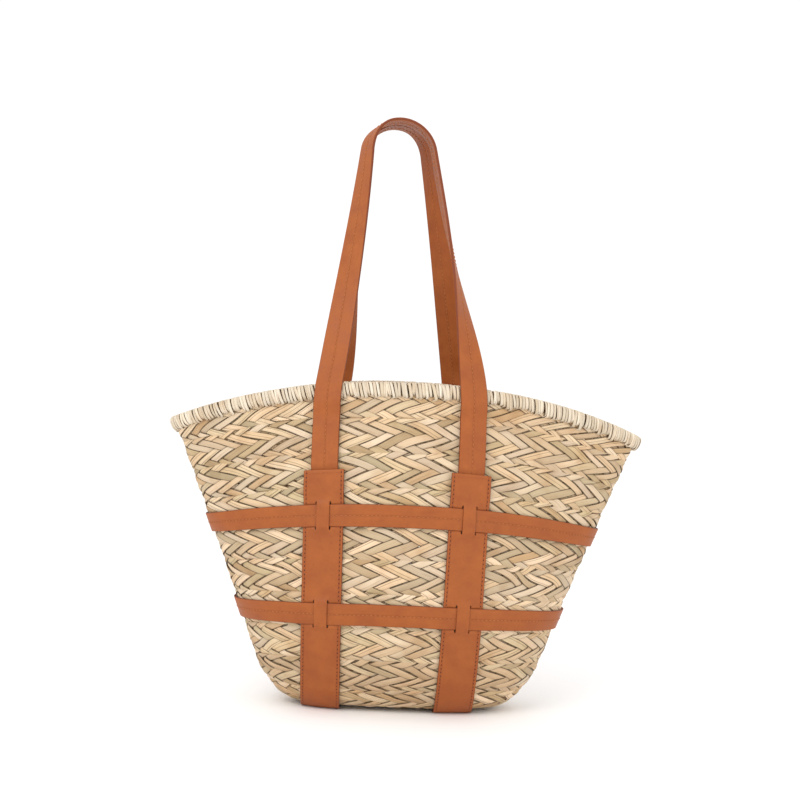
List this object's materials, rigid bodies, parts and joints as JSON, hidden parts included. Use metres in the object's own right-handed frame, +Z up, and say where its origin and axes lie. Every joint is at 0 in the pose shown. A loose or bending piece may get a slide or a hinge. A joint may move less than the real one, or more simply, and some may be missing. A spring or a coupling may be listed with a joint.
{
  "type": "beach bag",
  "caption": "Plaited palm-leaf basket with a flared oval mouth, a strapped and belted leather harness and long shoulder handles that fold outwards.",
  "frame": {"origin": "middle of the underside, on the plane that the straps' undersides rest on", "axes": "+X to the bag's right seen from the front, -Y out of the front, +Z up"},
  "size_m": [0.4412, 0.1684, 0.5468],
  "materials": {
    "plaited_palm_leaf": "matt dried leaf, plaited",
    "rim_whipping": "matt dried leaf, bound over a rope",
    "rim_rope": "twisted leaf rope",
    "strap_leather": "tan leather, satin, painted edges",
    "handle_leather": "folded tan leather, satin"
  },
  "bodies": {
    "root": {"base_braid": "plaited_palm_leaf", "wall_round_1": "plaited_palm_leaf", "wall_round_2": "plaited_palm_leaf", "wall_round_3": "plaited_palm_leaf", "wall_round_4": "plaited_palm_leaf", "wall_round_5": "plaited_palm_leaf", "wall_round_6": "plaited_palm_leaf", "wall_round_7": "plaited_palm_leaf", "wall_round_8": "plaited_palm_leaf", "wall_round_9": "plaited_palm_leaf", "wall_round_10": "plaited_palm_leaf", "rim_core": "rim_rope", "rim_binding": "rim_whipping", "left_strap": "strap_leather", "right_strap": "strap_leather", "lower_belt": "strap_leather", "upper_belt": "strap_leather", "front_left_tail": "handle_leather", "front_right_tail": "handle_leather", "back_left_tail": "handle_leather", "back_right_tail": "handle_leather"},
    "front_handle": {"front_handle": "handle_leather"},
    "back_handle": {"back_handle": "handle_leather"}
  },
  "joints": [
    {"name": "front_handle_fold", "type": "hinge", "parent": "root", "child": "front_handle", "pos_m": [-0.009, -0.07903, 0.22377], "axis": [1, 0, 0], "range_deg": [0, 140]},
    {"name": "back_handle_fold", "type": "hinge", "parent": "root", "child": "back_handle", "pos_m": [-0.009, 0.0797, 0.22404], "axis": [-1, 0, 0], "range_deg": [0, 140]}
  ]
}
